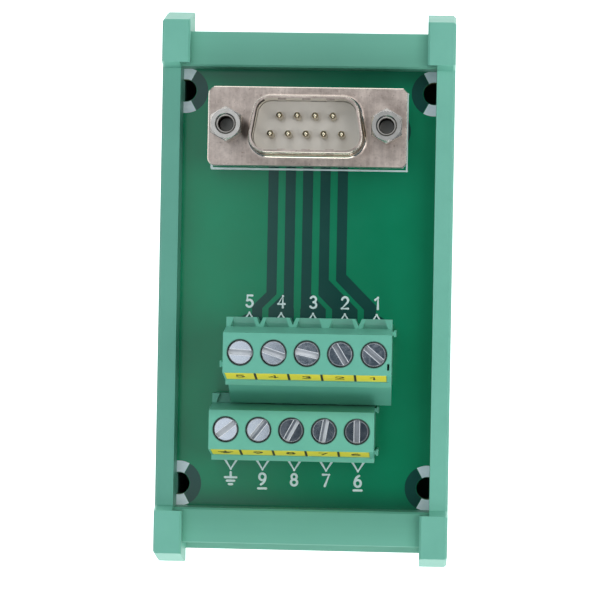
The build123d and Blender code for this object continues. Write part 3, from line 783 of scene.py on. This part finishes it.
def makeStrokeTree():
    kinds = {"Stroke Radius": "Float", "Flatness": "Float", "Ink": "Material"}
    sheet, given, keys = startTree("printedStrokes", kinds)
    radius = given["Stroke Radius"]
    line = sheet.add("GeometryNodeMeshToCurve", values={"Mesh": given["Geometry"]})
    circle = {"Resolution": 8, "Radius": radius}
    profile = sheet.add("GeometryNodeCurvePrimitiveCircle", values=circle)
    sweep = {"Curve": line, "Profile Curve": profile, "Fill Caps": True}
    tube = sheet.add("GeometryNodeCurveToMesh", values=sweep)
    ball = sheet.add("GeometryNodeMeshUVSphere", values={"Segments": 8, "Rings": 5, "Radius": radius})
    corners = {"Points": given["Geometry"], "Instance": ball}
    joints = sheet.add("GeometryNodeInstanceOnPoints", values=corners)
    both = sheet.add("GeometryNodeJoinGeometry")
    for part in (tube, joints):
        sheet.tree.links.new(part.socket, both.socket.node.inputs[0])
    scale = sheet.add("ShaderNodeCombineXYZ", values={"X": 1.0, "Y": 1.0, "Z": given["Flatness"]})
    flat = sheet.add("GeometryNodeTransform", values={"Geometry": both, "Scale": scale})
    endTree(sheet, flat, given["Ink"])
    return sheet, keys


strokeTree = makeStrokeTree()
strokeFlatness = 0.2


def drawStrokes(name, strokes, radius, finish):
    # strokes are lists of points in X and Y; each becomes one printed line
    points, edges = [], []
    for stroke in strokes:
        start = len(points)
        points += [(x, y, 0) for x, y in stroke]
        edges += [(start + i, start + i + 1) for i in range(len(stroke) - 1)]
    mesh = bpy.data.meshes.new(name)
    mesh.from_pydata(points, edges, [])
    values = {"Stroke Radius": radius, "Flatness": strokeFlatness, "Ink": finish.material}
    return formed(name, mesh, *strokeTree, values)


# Digits as pen strokes in a box 0.6 wide and 1 tall, and the sign for earth
digitStrokes = {
    "1": [[(0.14, 0.8), (0.4, 1.0), (0.4, 0.0)]],
    "2": [arc(0.3, 0.71, 0.29, 0.29, 165, -40, 10) + [(0.0, 0.0), (0.6, 0.0)]],
    "3": [arc(0.3, 0.75, 0.26, 0.25, 150, -85, 9), arc(0.3, 0.26, 0.3, 0.26, 85, -150, 10)],
    "4": [[(0.44, 0.0), (0.44, 1.0), (0.0, 0.3), (0.62, 0.3)]],
    "5": [[(0.55, 1.0), (0.1, 1.0), (0.06, 0.56)] + arc(0.28, 0.31, 0.31, 0.31, 125, -150, 11)],
    "6": [arc(0.3, 0.3, 0.3, 0.3, 0, 360, 14), arc(0.62, 0.3, 0.62, 0.7, 180, 108, 6)],
    "7": [[(0.0, 1.0), (0.6, 1.0), (0.2, 0.0)]],
    "8": [arc(0.3, 0.76, 0.25, 0.24, 0, 360, 12), arc(0.3, 0.27, 0.3, 0.27, 0, 360, 14)],
    "earth": [
        [(0.3, 1.05), (0.3, 0.6)],
        [(-0.25, 0.6), (0.85, 0.6)],
        [(-0.05, 0.3), (0.65, 0.3)],
        [(0.14, 0.0), (0.46, 0.0)],
    ],
}
digitStrokes["9"] = [[(0.6 - x, 1 - y) for x, y in stroke] for stroke in digitStrokes["6"]]


def placed(figure, x, y, wide, tall):
    # a figure with its middle at x and its foot at y
    strokes = digitStrokes[figure]
    return [[(x + (px - 0.3) * wide / 0.6, y + py * tall) for px, py in stroke] for stroke in strokes]


legend = {
    "tall": 1.82 * mm,
    "wide": 1.0 * mm,
    "pen": 0.195 * mm,
    "lift": 0.008 * mm,
    "arrowHalf": 1.0 * mm,
    "underline": -31.98 * mm,
    "underlineHalf": 0.64 * mm,
    "underlined": ("6", "9"),
    "high": {
        "order": ["5", "4", "3", "2", "1"],
        "foot": -3.04 * mm,
        "arrowTip": -3.95 * mm,
        "arrowFoot": -5.55 * mm,
    },
    "low": {
        "order": ["earth", "9", "8", "7", "6"],
        "foot": -31.4 * mm,
        "arrowTip": -28.95 * mm,
        "arrowFoot": -27.35 * mm,
    },
    "framePen": 0.2 * mm,
    "frameLeft": -15.5 * mm,
    "frameRight": 15.67 * mm,
    "frameDown": 6.35 * mm,
    "frameUp": 5.9 * mm,
}


def printedOnBoard(name, strokes, pen):
    piece = drawStrokes(name, strokes, pen, whiteInk)
    piece.data.transform(Matrix.Translation((0, 0, boardTop + legend["lift"])))
    return piece


def makeLegend():
    # a figure and an arrow for each pole, and a line under the figures that read two ways
    strokes = []
    half, line = legend["underlineHalf"], legend["underline"]
    for block, poles in blocks.items():
        row = legend[block]
        for figure, pole in zip(row["order"], poles):
            strokes += placed(figure, pole.x, row["foot"], legend["wide"], legend["tall"])
            left, right = pole.x - legend["arrowHalf"], pole.x + legend["arrowHalf"]
            strokes.append([(left, row["arrowFoot"]), (pole.x, row["arrowTip"]), (right, row["arrowFoot"])])
            if figure in legend["underlined"]:
                strokes.append([(pole.x - half, line), (pole.x + half, line)])
    return printedOnBoard("legend_figures", strokes, legend["pen"])


def makeConnectorFrame():
    left, right = legend["frameLeft"], legend["frameRight"]
    low, high = connectorY - legend["frameDown"], connectorY + legend["frameUp"]
    corners = [(left, low), (right, low), (right, high), (left, high), (left, low)]
    return printedOnBoard("legend_connector_frame", [corners], legend["framePen"])


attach(makeLegend(), "carrier")
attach(makeConnectorFrame(), "carrier")
print("legend done")


# Marker strips: black bars between the poles and a small figure for each

marker = {
    "slopeRun": 1.3,
    "slopeDrop": 6.1,
    "faceOut": 0.155 * mm,
    "barWide": 0.36 * mm,
    "barTall": 5.24 * mm,
    "barThick": 0.06 * mm,
    "barShift": -0.3 * mm,
    "figureShift": -0.13 * mm,
    "figureTall": 1.9 * mm,
    "figureWide": 1.15 * mm,
    "pen": 0.19 * mm,
}


def makeBarTree():
    kinds = {"Count": "Int", "Pitch": "Float", "Bar Size": "Vector", "Ink": "Material"}
    sheet, given, keys = startTree("markerBars", kinds)
    first = (given["Count"] - 1) * given["Pitch"] * -0.5
    start = sheet.add("ShaderNodeCombineXYZ", values={"X": first})
    step = sheet.add("ShaderNodeCombineXYZ", values={"X": given["Pitch"]})
    row = {"Count": given["Count"], "Start Location": start, "Offset": step}
    line = sheet.add("GeometryNodeMeshLine", values=row)
    bar = sheet.add("GeometryNodeMeshCube", values={"Size": given["Bar Size"]})
    bars = sheet.add("GeometryNodeInstanceOnPoints", values={"Points": line, "Instance": bar})
    endTree(sheet, bars, given["Ink"])
    return sheet, keys


barTree = makeBarTree()


def faceOf(middle):
    # local X along a strip, local Y up its slope and local Z out of its face
    slope = math.atan2(marker["slopeDrop"], marker["slopeRun"])
    up = Vector((0, math.cos(slope), math.sin(slope)))
    out = Vector((0, -math.sin(slope), math.cos(slope)))
    turn = Matrix(((1, 0, 0), (0, up.y, out.y), (0, up.z, out.z))).to_4x4()
    return Matrix.Translation(middle + out * marker["faceOut"]) @ turn


def makeMarkerPrint(block, poles):
    middle = middleOf("marker_strip_" + block)
    centreX = poles[len(poles) // 2].x
    size = (marker["barWide"], marker["barTall"], marker["barThick"])
    values = {"Count": len(poles) - 1, "Pitch": polePitch, "Bar Size": size, "Ink": blackInk.material}
    bars = formed("marker_bars_" + block, bpy.data.meshes.new("bars"), *barTree, values)
    strokes = []
    for figure, pole in zip(legend[block]["order"], poles):
        foot = -marker["figureTall"] / 2
        strokes += placed(figure, pole.x - centreX, foot, marker["figureWide"], marker["figureTall"])
    figures = drawStrokes("marker_figures_" + block, strokes, marker["pen"], blackInk)
    for piece, shift in ((bars, marker["barShift"]), (figures, marker["figureShift"])):
        piece.data.transform(faceOf(middle) @ Matrix.Translation((centreX - middle.x + shift, 0, 0)))
        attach(piece, "carrier")


for block, poles in blocks.items():
    makeMarkerPrint(block, poles)
print("marker strips done")


# Thread in the jackscrews' bores

thread = {"radius": 1.25 * mm, "ridge": 0.13 * mm, "pitch": 0.4 * mm, "turns": 9, "lead": 0.55 * mm}


def makeThreadTree():
    kinds = {"Turns": "Int", "Pitch": "Float", "Radius": "Float", "Ridge": "Float", "Metal": "Material"}
    sheet, given, keys = startTree("boreThread", kinds)
    step = sheet.add("ShaderNodeCombineXYZ", values={"Z": given["Pitch"] * -1.0})
    line = sheet.add("GeometryNodeMeshLine", values={"Count": given["Turns"], "Offset": step})
    path = {"Resolution": 28, "Radius": given["Radius"]}
    circle = sheet.add("GeometryNodeCurvePrimitiveCircle", values=path)
    ridge = {"Resolution": 4, "Radius": given["Ridge"]}
    section = sheet.add("GeometryNodeCurvePrimitiveCircle", values=ridge)
    ring = sheet.add("GeometryNodeCurveToMesh", values={"Curve": circle, "Profile Curve": section})
    rings = sheet.add("GeometryNodeInstanceOnPoints", values={"Points": line, "Instance": ring})
    endTree(sheet, rings, given["Metal"])
    return sheet, keys


threadTree = makeThreadTree()


def makeThread(side, jack):
    values = {
        "Turns": thread["turns"],
        "Pitch": thread["pitch"],
        "Radius": thread["radius"],
        "Ridge": thread["ridge"],
        "Metal": threadMetal.material,
    }
    piece = formed("bore_thread_" + side, bpy.data.meshes.new("thread"), *threadTree, values)
    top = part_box("jackscrew_" + side)[1][2] - thread["lead"]
    piece.data.transform(Matrix.Translation((jack.x, jack.y, top)))
    return piece


for side, jack in zip(("left", "right"), jackPlaces):
    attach(makeThread(side, jack), "carrier")
print("threads done")


# Floor, light and camera; a side light is its place, its size and its power

studio = {
    "floorHalf": 4.0,
    "floorDrop": 0.0002,
    "floorGlow": 1.05,
    "sky": 0.12,
    "skyColour": (0.6, 0.82, 1.0),
    "softbox": (-0.338, 0.0, 0.6),
    "softboxSize": (0.6, 1.0),
    "softboxPower": 1.75,
    "softboxColour": (0.9, 0.95, 1.0),
    "sideLights": [
        ((0.26, 0.0, 0.42), 0.3, 0.74),
        ((0.05, -0.6, 0.36), 0.4, 1.35),
        ((0.0, 0.4, 0.6), 0.4, 0.85),
    ],
    "target": (0, 0, 0.03),
}


def makeFloor():
    half = studio["floorHalf"]
    points = [(-half, -half, 0), (half, -half, 0), (half, half, 0), (-half, half, 0)]
    finish = Finish("paleFloor", Roughness=0.9)
    finish.set("Base Color", (0.9, 0.9, 0.9))
    finish.set("Emission Color", (1.0, 1.0, 1.0))
    finish.set("Emission Strength", studio["floorGlow"])
    floor = meshObject("floor", points, [[0, 1, 2, 3]], finish)
    floor.location.z = -studio["floorDrop"]


def areaLight(name, place, sizeX, sizeY, power):
    light = bpy.data.lights.new(name, "AREA")
    light.shape = "RECTANGLE"
    light.size = sizeX
    light.size_y = sizeY
    light.energy = power
    lamp = bpy.data.objects.new(name, light)
    lamp.location = place
    bpy.context.collection.objects.link(lamp)
    return lamp


def makeStudio():
    world = bpy.data.worlds.new("paleRoom")
    world.use_nodes = True
    sky = world.node_tree.nodes["Background"]
    sky.inputs["Color"].default_value = (*studio["skyColour"], 1.0)
    sky.inputs["Strength"].default_value = studio["sky"]
    bpy.context.scene.world = world
    softbox = areaLight("softbox", studio["softbox"], *studio["softboxSize"], studio["softboxPower"])
    softbox.data.color = studio["softboxColour"]
    for i, (place, size, power) in enumerate(studio["sideLights"]):
        lamp = areaLight(f"sideLight{i + 1}", place, size, size, power)
        aim = Vector(studio["target"]) - Vector(place)
        lamp.rotation_euler = aim.to_track_quat("-Z", "Y").to_euler()


view = {
    "place": (17.825 * mm, -2.869 * mm, 416.971 * mm),
    "turn": (0.00367, 0.0487, 0.0182),
    "lens": 144.91,
    "sensor": 36,
    "nearest": 10 * mm,
}


def makeCamera():
    lens = bpy.data.cameras.new("camera")
    lens.lens = view["lens"]
    lens.sensor_width = view["sensor"]
    lens.clip_start = view["nearest"]
    camera = bpy.data.objects.new("camera", lens)
    camera.location = view["place"]
    camera.rotation_euler = view["turn"]
    bpy.context.collection.objects.link(camera)
    bpy.context.scene.camera = camera
    bpy.context.scene.view_settings.view_transform = "Standard"


makeFloor()
makeStudio()
makeCamera()
print("studio done")
